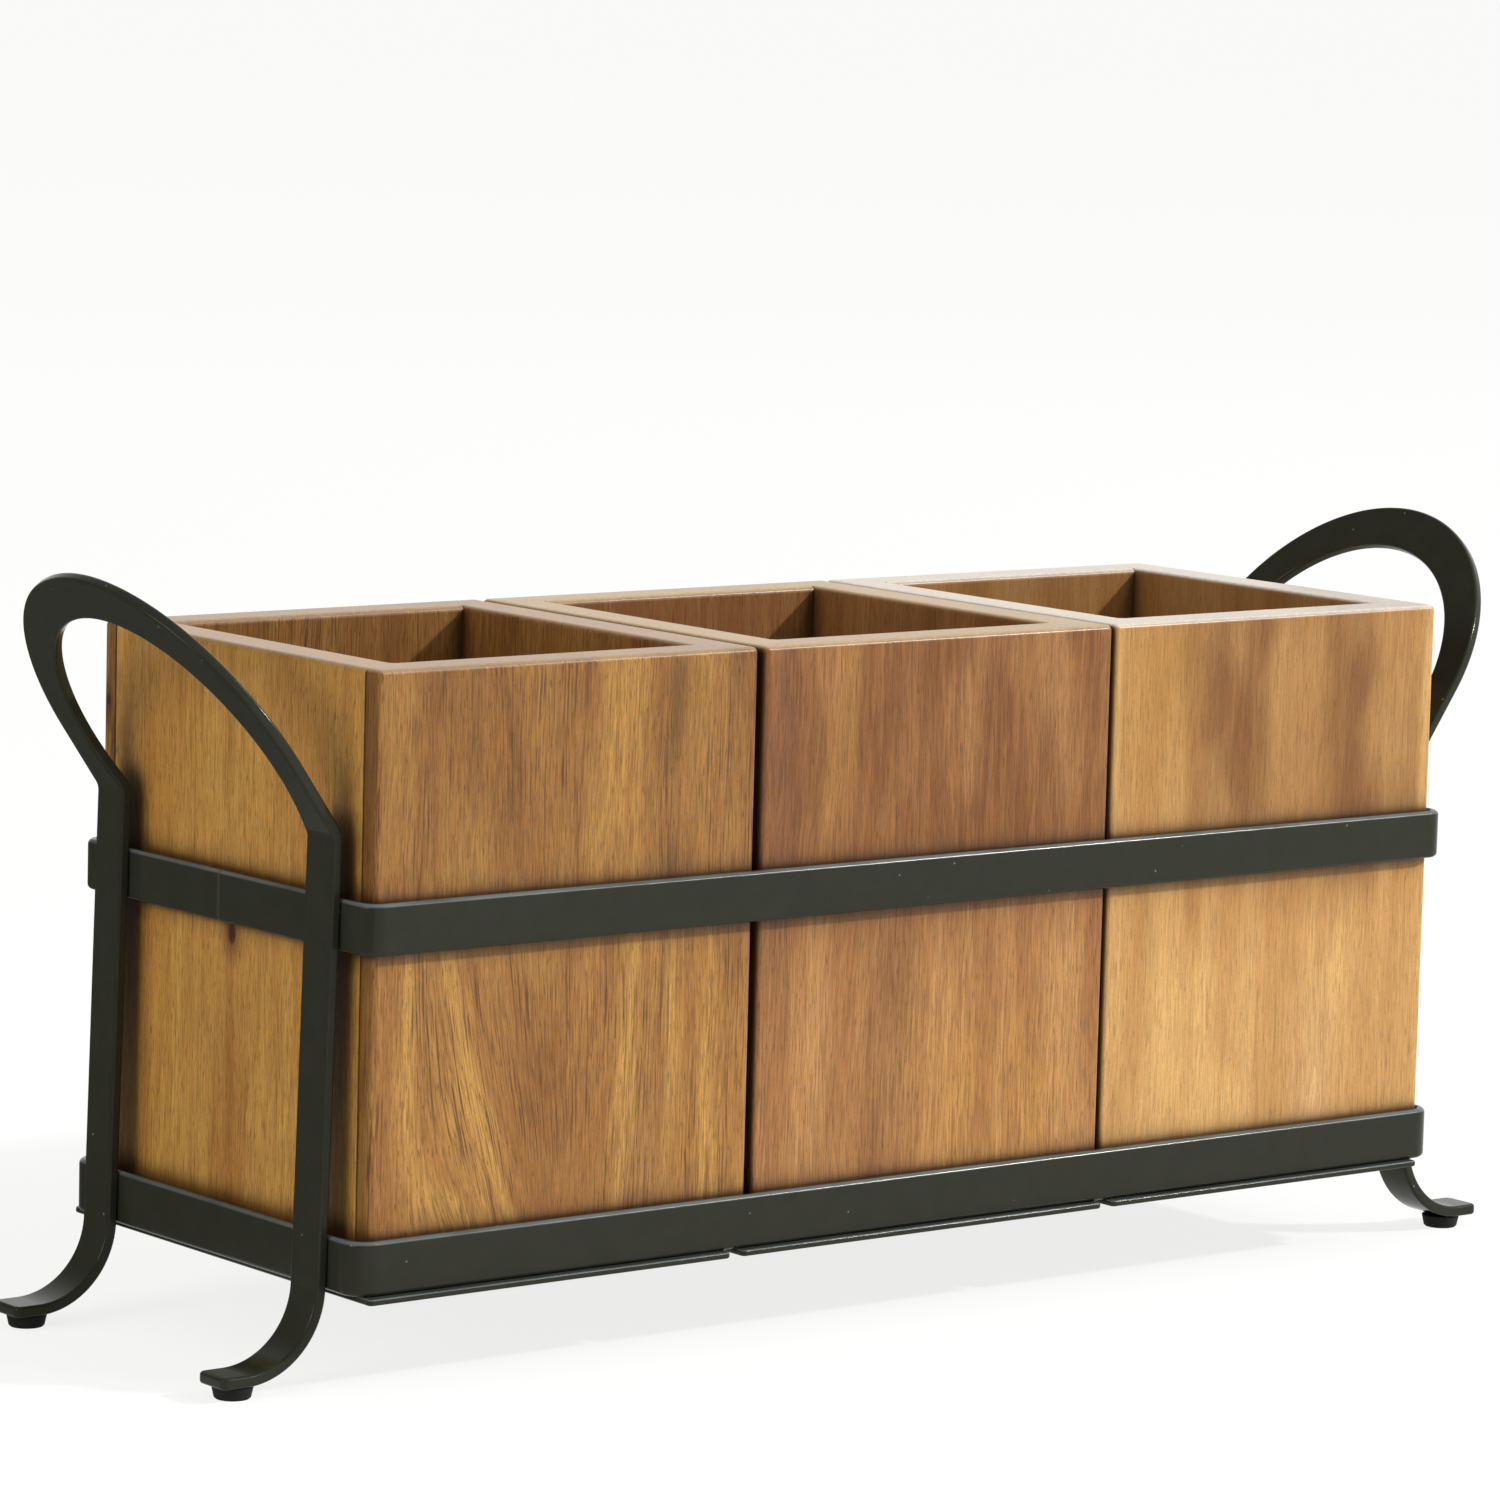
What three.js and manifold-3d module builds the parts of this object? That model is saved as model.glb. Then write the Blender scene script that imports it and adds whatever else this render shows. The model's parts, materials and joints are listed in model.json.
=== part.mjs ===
// A utensil caddy: three loose wooden bins stand in a row inside a frame of flat steel bar.
// Millimetres. +Z is up, +X runs along the row of bins and -Y is the front.
// The origin lies on the surface the caddy stands on, under the middle of the frame.

import * as THREE from 'three';
import { mergeVertices } from 'three/addons/utils/BufferGeometryUtils.js';
import Module from 'manifold-3d';

const wasm = await Module();
wasm.setup();

// The bins: four boards round a floor panel that floats in grooves
const binWidth = 85.8;        // along the row
const binDepth = 91;          // front to back
const binHeight = 113.1;
const boardThickness = 9.4;
const lipThickness = 4.5;     // what a front or back board keeps outside its end rabbets
const cornerRound = 1.2;      // radius of a bin's upright corners
const floorThickness = 5;
const floorRaise = 5;         // from the boards' bottom edges up to the floor panel
const grooveDepth = 4;
const panelPlay = 0.3;        // round the floor panel's edges and above it, in its grooves
const leftGap = 1.4;          // between the left and the middle bin
const rightGap = 0.6;         // between the middle and the right bin

// The bands: two closed hoops of flat bar round the row of bins
const bandThickness = 2;
const sideClearance = 0.7;    // between the bins' fronts or backs and the bands
const leftClearance = 1.1;    // between the row's left end and the mid band
const rightClearance = 0.4;   // between the row's right end and both bands
const baseBandHeight = 10.1;
const midBandHeight = 9.6;
const bandSpacing = 51.7;     // from the base band's top edge to the mid band's bottom edge
const fullCornerShare = 0.95; // the base band's inner corner, of the largest that clears the bins

// The base plates: three sheets welded side by side under the base band
const plateThickness = 1.2;
const plateLedge = 1.5;       // how far they stand out in front of the base band and behind it
const plateGap = 2.7;         // between neighbouring plates
const plateCorner = 1;
const plateInset = 3.2;       // how much shorter the row of plates is than the mid band, at each end
const plateShift = 2.6;       // how far the row of plates lies left of the frame's middle
const middlePlateReach = 1.6; // how much wider the middle plate is than a bin, on both sides
const groundClearance = 17.1; // from the surface up to the plates

// The handle frames: one strap each, up one leg, over the grip and down the other leg
const strapThickness = 2.2;
const legWidth = 8.8;
const legInset = 8.8;         // from the base band's long side in to a leg's outer edge
const leftSplay = THREE.MathUtils.degToRad(1.4); // how far the left legs lean out towards their feet
const rightSplay = 0;
const footRadius = 14.6;      // of the strap's upper face where a leg curls out to its toe
const toeLength = 5.1;        // the flat stretch past that curl
const toeCorner = 1.4;
const bendRise = 11.2;        // from the mid band's top edge up to the bend
const bendRadius = 3;
const handleTilt = THREE.MathUtils.degToRad(35);
const cheekLength = 14.1;     // the straight outer edge between the bend and the grip's arch
const gripWidth = 9.3;        // the strap's width at the top of the grip

// The foot pads: rubber buttons under the toes
const padThickness = 2.5;
const padMargin = 0.5;        // from a pad's rim to the toe's edge
const padTaper = 0.5;         // how much narrower a pad's foot is than its top
const padEase = 0.3;          // the chamfer round its foot
const leftPadInset = 4.8;     // from the tip of a left toe in to the middle of its pad
const rightPadInset = 6.2;    // and from the tip of a right toe

// How finely round stretches are divided
const cornerSteps = 10;
const footSteps = 24;
const bendSteps = 8;
const toeSteps = 5;
const archSteps = 96;
const padSides = 32;

// What follows from those sizes
const rowLength = 3 * binWidth + leftGap + rightGap;
const bandInnerLength = leftClearance + rowLength + rightClearance;
const bandInnerDepth = binDepth + 2 * sideClearance;
const bandOuterLength = bandInnerLength + 2 * bandThickness;
const bandOuterDepth = bandInnerDepth + 2 * bandThickness;
const plateTop = groundClearance + plateThickness;
const baseBandTop = plateTop + baseBandHeight;
const midBandBottom = baseBandTop + bandSpacing;
const midBandTop = midBandBottom + midBandHeight;
const bendHeight = midBandTop + bendRise;
const toeTop = padThickness + strapThickness;
const outerHalf = bandOuterDepth / 2 - legInset;
const innerHalf = outerHalf - legWidth;

// A named size's colour and finish in one material
function finish(name, color, roughness, metalness) {
  const material = new THREE.MeshStandardMaterial({ color, roughness, metalness });
  material.name = name;
  return material;
}

const leftWood = () => finish('left_bin_wood', 0xa5733f, 0.6, 0);
const middleWood = () => finish('middle_bin_wood', 0x96603c, 0.6, 0);
const rightWood = () => finish('right_bin_wood', 0xc4935c, 0.6, 0);
const panelWood = () => finish('floor_panel_wood', 0x7d5532, 0.7, 0);
const blackSteel = () => finish('black_steel', 0x2a2b26, 0.42, 0.3);
const blackRubber = () => finish('black_rubber', 0x151515, 0.85, 0);

function mesh(name, geometry, material) {
  const piece = new THREE.Mesh(geometry, material);
  piece.name = name;
  return piece;
}

// A box between two corners, each given as [x, y, z]
function box(low, high) {
  const size = high.map((value, axis) => value - low[axis]);
  const middle = high.map((value, axis) => (value + low[axis]) / 2);
  const geometry = new THREE.BoxGeometry(...size);
  geometry.translate(...middle);
  return geometry;
}

// A shape drawn in plan, raised to a height
function raise(shape, height) {
  const settings = { depth: height, bevelEnabled: false, curveSegments: cornerSteps };
  return new THREE.ExtrudeGeometry(shape, settings);
}

function toSolid(geometry) {
  const bare = geometry.clone();
  bare.deleteAttribute('normal');
  bare.deleteAttribute('uv');
  const merged = mergeVertices(bare);
  const vertProperties = new Float32Array(merged.attributes.position.array);
  const triVerts = new Uint32Array(merged.index.array);
  return new wasm.Manifold(new wasm.Mesh({ numProp: 3, vertProperties, triVerts }));
}

function toGeometry(solid) {
  const { vertProperties, triVerts } = solid.getMesh();
  const geometry = new THREE.BufferGeometry();
  geometry.setAttribute('position', new THREE.BufferAttribute(vertProperties, 3));
  geometry.setIndex(new THREE.BufferAttribute(triVerts, 1));
  return geometry;
}

function cut(geometry, tool) {
  return toGeometry(toSolid(geometry).subtract(toSolid(tool)));
}

// A rectangle with round corners, centred on the origin
function roundedRectangle(outline, length, depth, radius) {
  const x = length / 2 - radius;
  const y = depth / 2 - radius;
  outline.absarc(x, -y, radius, -Math.PI / 2, 0);
  outline.absarc(x, y, radius, 0, Math.PI / 2);
  outline.absarc(-x, y, radius, Math.PI / 2, Math.PI);
  outline.absarc(-x, -y, radius, Math.PI, 3 * Math.PI / 2);
  return outline;
}

// The groove round a bin's inside that holds the floor panel, from its bottom to its top
const grooveBottom = floorRaise;
const grooveTop = floorRaise + floorThickness + panelPlay;

// A front or back board in plan: its ends are rabbeted, so that a lip covers the side boards' ends
function rabbetedOutline() {
  const face = -binDepth / 2;
  const end = binWidth / 2;
  const shoulder = end - boardThickness;
  const round = Math.min(cornerRound, lipThickness);
  const outline = new THREE.Shape();
  outline.absarc(-end + round, face + round, round, Math.PI, 3 * Math.PI / 2);
  outline.absarc(end - round, face + round, round, -Math.PI / 2, 0);
  outline.lineTo(end, face + lipThickness);
  outline.lineTo(shoulder, face + lipThickness);
  outline.lineTo(shoulder, face + boardThickness);
  outline.lineTo(-shoulder, face + boardThickness);
  outline.lineTo(-shoulder, face + lipThickness);
  outline.lineTo(-end, face + lipThickness);
  return outline;
}

function frontBoard() {
  const inside = -binDepth / 2 + boardThickness;
  const shoulder = binWidth / 2 - boardThickness;
  const board = raise(rabbetedOutline(), binHeight);
  const low = [-shoulder - panelPlay, inside - grooveDepth, grooveBottom];
  const high = [shoulder + panelPlay, inside + grooveDepth, grooveTop];
  return cut(board, box(low, high));
}

// The left side board; its groove runs from end to end
function sideBoard() {
  const face = -binWidth / 2;
  const inside = face + boardThickness;
  const end = binDepth / 2 - lipThickness;
  const board = box([face, -end, 0], [inside, end, binHeight]);
  const low = [inside - grooveDepth, -end - panelPlay, grooveBottom];
  const high = [inside + grooveDepth, end + panelPlay, grooveTop];
  return cut(board, box(low, high));
}

function floorPanel() {
  const reach = boardThickness - grooveDepth + panelPlay;
  const x = binWidth / 2 - reach;
  const y = binDepth / 2 - reach;
  return box([-x, -y, grooveBottom], [x, y, grooveBottom + floorThickness]);
}

// One bin, standing on the base plates with its middle at x
function bin(name, x, wood) {
  const group = new THREE.Group();
  const front = mesh(name + '_front_board', frontBoard(), wood());
  const back = mesh(name + '_back_board', frontBoard(), wood());
  const left = mesh(name + '_left_board', sideBoard(), wood());
  const right = mesh(name + '_right_board', sideBoard(), wood());
  back.rotation.z = Math.PI;
  right.rotation.z = Math.PI;
  group.add(front, back, left, right, mesh(name + '_floor_panel', floorPanel(), panelWood()));
  group.position.set(x, 0, plateTop);
  return group;
}

// A closed hoop of flat bar with its bottom edge at z. It reaches this much further left than
// the mid band.
function band(name, innerCorner, height, z, leftReach) {
  const innerLength = bandInnerLength + leftReach;
  const outerLength = bandOuterLength + leftReach;
  const outerCorner = innerCorner + bandThickness;
  const shape = roundedRectangle(new THREE.Shape(), outerLength, bandOuterDepth, outerCorner);
  shape.holes.push(roundedRectangle(new THREE.Path(), innerLength, bandInnerDepth, innerCorner));
  const hoop = mesh(name, raise(shape, height), blackSteel());
  hoop.position.set(-leftReach / 2, 0, z);
  return hoop;
}

// The base band is longer at the left, because the left legs lean out to meet it
const baseReach = (midBandTop - baseBandTop) * Math.tan(leftSplay);

// The mid band follows the bins' corners. The base band's corners are fuller, and still clear them:
// with an inner corner of the largest size they would just touch theirs.
const closeCorner = cornerRound + sideClearance;
const endClearance = Math.min(leftClearance, rightClearance);
const largestCorner = closeCorner + endClearance + Math.sqrt(2 * sideClearance * endClearance);
const fullCorner = fullCornerShare * largestCorner;

// One base plate; its ends are given as if the row of plates stood in the frame's middle
function basePlate(name, left, right) {
  const depth = bandOuterDepth + 2 * plateLedge;
  const shape = roundedRectangle(new THREE.Shape(), right - left, depth, plateCorner);
  const plate = mesh(name, raise(shape, plateThickness), blackSteel());
  plate.position.set((left + right) / 2 - plateShift, 0, groundClearance);
  return plate;
}

// A point of the strap's outer face, in the plane that a leg and the grip are bent in.
// The heading is the way along the strap, as an angle from +X towards +Z.
function pathPoint(x, z, heading) {
  return { x, z, heading };
}

function ahead(point, distance) {
  const x = point.x + distance * Math.cos(point.heading);
  const z = point.z + distance * Math.sin(point.heading);
  return pathPoint(x, z, point.heading);
}

// The points of a left-hand turn, without its first
function turn(start, radius, angle, steps) {
  const centreX = start.x - radius * Math.sin(start.heading);
  const centreZ = start.z + radius * Math.cos(start.heading);
  const points = [];
  for (let step = 1; step <= steps; step += 1) {
    const heading = start.heading + angle * step / steps;
    const x = centreX + radius * Math.sin(heading);
    const z = centreZ - radius * Math.cos(heading);
    points.push(pathPoint(x, z, heading));
  }
  return points;
}

// A crosswise line on the strap: its two edge points on the outer face, and that face's normal
function station(outerPoint, outerY, innerPoint, innerY) {
  const { heading } = outerPoint;
  return {
    outer: new THREE.Vector3(outerPoint.x, outerY, outerPoint.z),
    inner: new THREE.Vector3(innerPoint.x, innerY, innerPoint.z),
    normal: new THREE.Vector3(-Math.sin(heading), 0, Math.cos(heading)),
  };
}

function mirrored(line) {
  const flip = new THREE.Vector3(1, -1, 1);
  return {
    outer: line.outer.clone().multiply(flip),
    inner: line.inner.clone().multiply(flip),
    normal: line.normal,
  };
}

// Where a frame's strap turns. Its legs lean by the splay, and their inner faces meet the mid band's
// top edge. The corner is where the two flat sides of a bend would meet, and each side stops short
// of it by the tangent. The tilted plane of the grip starts there.
function strapPlan(splay) {
  const face = -bandOuterLength / 2 - strapThickness / Math.cos(splay);
  const bendX = face + bendRise * Math.tan(splay);
  const heelEnd = toeTop + footRadius * (1 - Math.sin(splay));
  const heelX = bendX - (bendHeight - heelEnd) * Math.tan(splay) - footRadius * Math.cos(splay);
  return {
    tip: pathPoint(heelX - toeLength, toeTop, 0),
    heelAngle: Math.PI / 2 - splay,
    corner: pathPoint(bendX, bendHeight, Math.PI / 2 + handleTilt),
    bendAngle: handleTilt + splay,
    tangent: bendRadius * Math.tan((handleTilt + splay) / 2),
  };
}

// The front leg, from the tip of its toe to the end of its bend
function legStations({ tip, heelAngle, corner, bendAngle, tangent }) {
  const lines = [];
  for (let step = 0; step < toeSteps; step += 1) {
    const angle = step / toeSteps * Math.PI / 2;
    const point = ahead(tip, toeCorner * (1 - Math.cos(angle)));
    const inset = toeCorner * (1 - Math.sin(angle));
    lines.push(station(point, -outerHalf + inset, point, -innerHalf - inset));
  }
  const heel = ahead(tip, toeLength);
  const bendStart = ahead(pathPoint(corner.x, corner.z, heelAngle), -tangent);
  const points = [ahead(tip, toeCorner), heel];
  points.push(...turn(heel, footRadius, heelAngle, footSteps));
  points.push(bendStart);
  points.push(...turn(bendStart, bendRadius, bendAngle, bendSteps));
  lines.push(...points.map((point) => station(point, -outerHalf, point, -innerHalf)));
  return lines;
}

// The grip's outer edge, flat in its plane: two straight cheeks and a half circle between them.
// A place runs from -1 at the front leg to 1 at the back leg, and is a share of the way round.
function gripOuterEdge(placeShare, tangent) {
  const cheek = cheekLength - tangent;
  const halfArch = outerHalf * Math.PI / 2;
  const travel = placeShare * (cheek + halfArch);
  const past = Math.abs(travel) - halfArch;
  if (past > 0) {
    return { y: Math.sign(travel) * outerHalf, rise: cheekLength - past };
  }
  const angle = travel / outerHalf;
  return { y: outerHalf * Math.sin(angle), rise: cheekLength + outerHalf * Math.cos(angle) };
}

// The grip's inner edge: one circle through both legs' inner edges and the grip's top
function gripInnerEdge(placeShare, tangent) {
  const top = cheekLength + outerHalf - gripWidth;
  const height = top - tangent;
  const radius = (innerHalf ** 2 + height ** 2) / (2 * height);
  const centre = top - radius;
  const reach = Math.PI / 2 + Math.asin((centre - tangent) / radius);
  const angle = placeShare * reach;
  return { y: radius * Math.sin(angle), rise: centre + radius * Math.cos(angle) };
}

function gripStations({ corner, tangent }) {
  const lines = [];
  for (let step = 1; step < archSteps; step += 1) {
    const placeShare = 2 * step / archSteps - 1;
    const outer = gripOuterEdge(placeShare, tangent);
    const inner = gripInnerEdge(placeShare, tangent);
    lines.push(station(ahead(corner, outer.rise), outer.y, ahead(corner, inner.rise), inner.y));
  }
  return lines;
}

// The strap's solid: four corners at each station, joined from one to the next and capped at both ends
function strap(stations) {
  const positions = [];
  const triangles = [];
  stations.forEach(({ outer, inner, normal }) => {
    const down = normal.clone().multiplyScalar(-strapThickness);
    const corners = [outer, inner, inner.clone().add(down), outer.clone().add(down)];
    corners.forEach((corner) => positions.push(corner.x, corner.y, corner.z));
  });
  for (let line = 0; line + 1 < stations.length; line += 1) {
    for (let side = 0; side < 4; side += 1) {
      const a = 4 * line + side;
      const b = 4 * line + (side + 1) % 4;
      triangles.push(a, a + 4, b, b, a + 4, b + 4);
    }
  }
  const last = 4 * (stations.length - 1);
  triangles.push(0, 1, 2, 0, 2, 3);
  triangles.push(last, last + 3, last + 2, last, last + 2, last + 1);
  const geometry = new THREE.BufferGeometry();
  geometry.setAttribute('position', new THREE.Float32BufferAttribute(positions, 3));
  geometry.setIndex(triangles);
  return geometry;
}

function handleFrame(name, plan) {
  const front = legStations(plan);
  const back = front.map(mirrored).reverse();
  return mesh(name, strap([...front, ...gripStations(plan), ...back]), blackSteel());
}

// A rubber button with its middle at x, under the front toe or the back toe
function footPad(name, x, ySide) {
  const topRadius = legWidth / 2 - padMargin;
  const footRim = topRadius - padTaper;
  const profile = [
    new THREE.Vector2(0, 0),
    new THREE.Vector2(footRim - padEase, 0),
    new THREE.Vector2(footRim, padEase),
    new THREE.Vector2(topRadius, padThickness),
    new THREE.Vector2(0, padThickness),
  ];
  const geometry = new THREE.LatheGeometry(profile, padSides);
  geometry.rotateX(Math.PI / 2);
  const pad = mesh(name, geometry, blackRubber());
  pad.position.set(x, ySide * (outerHalf - legWidth / 2), 0);
  return pad;
}

// Assembly
const caddy = new THREE.Group();

const leftBinX = -bandInnerLength / 2 + leftClearance + binWidth / 2;
const middleBinX = leftBinX + binWidth + leftGap;
const rightBinX = middleBinX + binWidth + rightGap;
caddy.add(bin('left_bin', leftBinX, leftWood));
caddy.add(bin('middle_bin', middleBinX, middleWood));
caddy.add(bin('right_bin', rightBinX, rightWood));

caddy.add(band('base_band', fullCorner, baseBandHeight, plateTop, baseReach));
caddy.add(band('mid_band', closeCorner, midBandHeight, midBandBottom, 0));

const plateSplit = binWidth / 2 + middlePlateReach;
const plateEnd = bandOuterLength / 2 - plateInset;
caddy.add(basePlate('left_base_plate', -plateEnd, -plateSplit - plateGap));
caddy.add(basePlate('middle_base_plate', -plateSplit, plateSplit));
caddy.add(basePlate('right_base_plate', plateSplit + plateGap, plateEnd));

const leftPlan = strapPlan(leftSplay);
const rightPlan = strapPlan(rightSplay);
const leftFrame = handleFrame('left_handle_frame', leftPlan);
const rightFrame = handleFrame('right_handle_frame', rightPlan);
rightFrame.rotation.z = Math.PI;
caddy.add(leftFrame, rightFrame);

const leftPadX = leftPlan.tip.x + leftPadInset;
const rightPadX = -rightPlan.tip.x - rightPadInset;
caddy.add(footPad('front_left_pad', leftPadX, -1));
caddy.add(footPad('back_left_pad', leftPadX, 1));
caddy.add(footPad('front_right_pad', rightPadX, -1));
caddy.add(footPad('back_right_pad', rightPadX, 1));

export default caddy;
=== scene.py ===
# The looks of a utensil caddy: three loose wooden bins in a frame of black flat steel bar.
# Metres, in the part's own frame: +X along the row of bins, -Y to the front, +Z up.

import json
import math
import random
from collections import namedtuple

import bmesh
import bpy
from mathutils import Matrix, Vector


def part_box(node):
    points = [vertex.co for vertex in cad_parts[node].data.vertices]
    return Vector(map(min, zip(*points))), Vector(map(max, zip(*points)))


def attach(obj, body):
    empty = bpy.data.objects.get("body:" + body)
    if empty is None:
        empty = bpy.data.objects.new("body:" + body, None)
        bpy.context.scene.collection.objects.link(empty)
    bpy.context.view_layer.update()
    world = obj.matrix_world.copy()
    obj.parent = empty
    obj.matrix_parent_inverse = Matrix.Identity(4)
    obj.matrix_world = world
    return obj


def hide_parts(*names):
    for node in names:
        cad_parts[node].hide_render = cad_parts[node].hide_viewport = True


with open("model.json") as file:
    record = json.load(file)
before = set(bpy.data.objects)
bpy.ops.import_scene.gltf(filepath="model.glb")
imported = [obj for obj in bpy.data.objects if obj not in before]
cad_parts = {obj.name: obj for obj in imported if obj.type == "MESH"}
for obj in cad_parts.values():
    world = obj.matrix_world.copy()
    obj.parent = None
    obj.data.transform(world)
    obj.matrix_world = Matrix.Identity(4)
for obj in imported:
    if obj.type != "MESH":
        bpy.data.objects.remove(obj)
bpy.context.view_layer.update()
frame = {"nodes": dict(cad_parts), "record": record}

record = frame["record"]
body_of = {node: body for body, nodes in record["behaviour"]["bodies"].items() for node in nodes}

X, Y, Z = range(3)
WHITE = (1, 1, 1, 1)

# Camera: where it looks, from how far, and how it is turned
LOOK_AT = Vector((-0.04527, -0.0455, 0.11221))
CAMERA_DISTANCE = 1.21295
CAMERA_AZIMUTH = math.radians(-38.11)
CAMERA_ELEVATION = math.radians(7.36)
CAMERA_ROLL = math.radians(1.48)
LENS_MM = 156.53
SENSOR_MM = 36
CLIP_START = 0.05
CLIP_END = 60

# Light: a small bright lamp from the front right, a small bluish one higher up, a wide warm one at the
# left, and a plain surrounding. A lamp's direction and distance are counted from where the camera looks.
Lamp = namedtuple("Lamp", "name direction distance size power color")
LAMPS = (
    Lamp("key", Vector((0.66, -0.54, 0.52)), distance=3.0, size=0.2, power=73, color=(1.0, 0.985, 0.96)),
    Lamp("sky", Vector((0.45, -0.6, 0.75)), distance=1.9, size=0.35, power=6, color=(0.74, 0.88, 1.0)),
    Lamp("fill", Vector((-1, -0.1, 0.35)), distance=2.0, size=1.0, power=13, color=(1.0, 0.97, 0.9)),
)
AMBIENT_STRENGTH = 0.45

# Floor: its tone for the light that it throws back, its darker tone where it is seen, and the glow that
# makes it nearly white there, near the caddy and far from it
FLOOR_REACH = 25.0
FLOOR_TONE = 0.8
FLOOR_SEEN_TONE = 0.2
FLOOR_GLOW = (0.82, 0.86)
FLOOR_GLOW_REACH = (0.4, 2.5)
FLOOR_GLOW_COLOR = (1, 1, 0.99, 1)
FLOOR_ROUGHNESS = 0.9

# What gloss shows of the room is darker on the left and behind: how dark, and from where to where it
# brightens. On the floor these places are counted along a level line to the front right.
DIM_SHARE = 0.12
DIM_SKY = (-0.35, 0.45)
DIM_FLOOR = (-0.22, -0.08)
DIM_ACROSS = Vector((0.853, -0.523, 0))

# How near two places are to be one, and which angles are flat, which are smoothed and which are corners
JOIN_REACH = 1e-6
SAME_PLACE = 1e-5
FLAT_ANGLE = math.radians(0.3)
SMOOTH_ANGLE = math.radians(31)
CORNER_ANGLE = math.radians(50)

# Shading: the least area of a flat face, and how strongly wide faces keep their edges' shading flat
FLAT_AREA = 5e-6
FLAT_WEIGHT = 80

# How far the edges are eased, and in how many steps
RIM_EASE = 0.0011
RIM_STEPS = 5
PANEL_EASE = 0.0004
PANEL_STEPS = 2
BAND_EASE = 0.00095
PLATE_EASE = 0.0004
STRAP_EASE = 0.0006
PAD_EASE = 0.0003
STEEL_STEPS = 4
ROUND_PROFILE = 0.5

# The boards' joints, as in the model
BOARD_THICKNESS = 0.0094
LIP_THICKNESS = 0.0045
JOINT_LINE = 0.00035

# The sockets of a node that mixes two colours
MIX_SHARE = 0
MIX_FIRST = 6
MIX_SECOND = 7
MIX_RESULT = 2

# The last two values of a step that falls from all to nothing
FALLING = (1.0, 0.0)


def tone(red, green, blue):
    """A screen colour, 0 to 255 a channel, as the linear colour that nodes take."""
    channels = [value / 255 for value in (red, green, blue)]
    linear = [c / 12.92 if c <= 0.04045 else ((c + 0.055) / 1.055) ** 2.4 for c in channels]
    return (*linear, 1)


class Nodes:
    """A node tree under construction. A value is a number, a colour, a vector or a node's output."""

    def __init__(self, tree):
        self.tree = tree

    def node(self, kind, **settings):
        made = self.tree.nodes.new("ShaderNode" + kind)
        for name, value in settings.items():
            setattr(made, name, value)
        return made

    def feed(self, socket, value):
        if isinstance(value, bpy.types.NodeSocket):
            self.tree.links.new(value, socket)
        else:
            socket.default_value = value

    def feed_all(self, sockets, values):
        for socket, value in zip(sockets, values):
            self.feed(socket, value)

    def math(self, operation, *values):
        made = self.node("Math", operation=operation)
        self.feed_all(made.inputs, values)
        return made.outputs[0]

    def total(self, *values):
        result = values[0]
        for value in values[1:]:
            result = self.math("ADD", result, value)
        return result

    def product(self, *values):
        result = values[0]
        for value in values[1:]:
            result = self.math("MULTIPLY", result, value)
        return result

    def apart(self, first, second):
        """How far apart two values are."""
        return self.math("ABSOLUTE", self.math("SUBTRACT", first, second))

    def vector(self, operation, *values):
        made = self.node("VectorMath", operation=operation)
        self.feed_all(made.inputs, values)
        return made.outputs["Vector"]

    def measure(self, operation, *values):
        """A number that is worked out from vectors, such as a length."""
        made = self.node("VectorMath", operation=operation)
        self.feed_all(made.inputs, values)
        return made.outputs["Value"]

    def combine(self, x, y, z):
        made = self.node("CombineXYZ")
        self.feed_all(made.inputs, (x, y, z))
        return made.outputs[0]

    def separate(self, vector):
        made = self.node("SeparateXYZ")
        self.feed(made.inputs[0], vector)
        return tuple(made.outputs)

    def step(self, value, start, end, low=0.0, high=1.0):
        """Runs smoothly from low to high while value runs from start to end."""
        made = self.node("MapRange", interpolation_type="SMOOTHSTEP")
        self.feed_all(made.inputs, (value, start, end, low, high))
        return made.outputs["Result"]

    def mix(self, share, first, second, blend="MIX"):
        made = self.node("Mix", data_type="RGBA", blend_type=blend)
        self.feed(made.inputs[MIX_SHARE], share)
        self.feed(made.inputs[MIX_FIRST], first)
        self.feed(made.inputs[MIX_SECOND], second)
        return made.outputs[MIX_RESULT]

    def noise(self, place, size=1.0, detail=2, roughness=0.5):
        """Cloudy noise of this size. Detail is how many finer sizes are laid over it, and how rough."""
        made = self.node("TexNoise", noise_dimensions="3D")
        self.feed(made.inputs["Vector"], place)
        self.feed(made.inputs["Scale"], 1 / size)
        self.feed(made.inputs["Detail"], detail)
        self.feed(made.inputs["Roughness"], roughness)
        return made.outputs[0]

    def bump(self, height, distance):
        made = self.node("Bump")
        self.feed(made.inputs["Height"], height)
        self.feed(made.inputs["Distance"], distance)
        return made.outputs[0]

    def place(self):
        return self.node("TexCoord").outputs["Object"]

    def facing(self):
        return self.node("TexCoord").outputs["Normal"]


class Paint(Nodes):
    """A material under construction."""

    def __init__(self, name):
        self.material = bpy.data.materials.new(name)
        self.material.use_nodes = True
        super().__init__(self.material.node_tree)
        self.shader = self.tree.nodes["Principled BSDF"]

    def give(self, name, value):
        """Sets what the shader takes under a name."""
        self.feed(self.shader.inputs[name], value)

    def finish(self, color, roughness, normal, specular):
        self.give("Base Color", color)
        self.give("Roughness", roughness)
        self.give("Normal", normal)
        self.give("Specular IOR Level", specular)
        return self.material


# Wood

# The axes that run across a board's face, through its thickness and along its grain
BOARD_AXES = {
    "front_board": (X, Y, Z),
    "back_board": (X, Y, Z),
    "left_board": (Y, X, Z),
    "right_board": (Y, X, Z),
    "floor_panel": (Y, Z, X),
}

# A broad stripe of another tone, for a board's own veining and also for painted shade and painted light over
# part of a board: its distance from the board's middle at the board's top and bottom, its half width, how
# strong it is, and the heights over the board's middle between which it fades in
VeinAndPaintedLight = namedtuple("VeinAndPaintedLight", "tone top bottom half strength start end")

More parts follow.
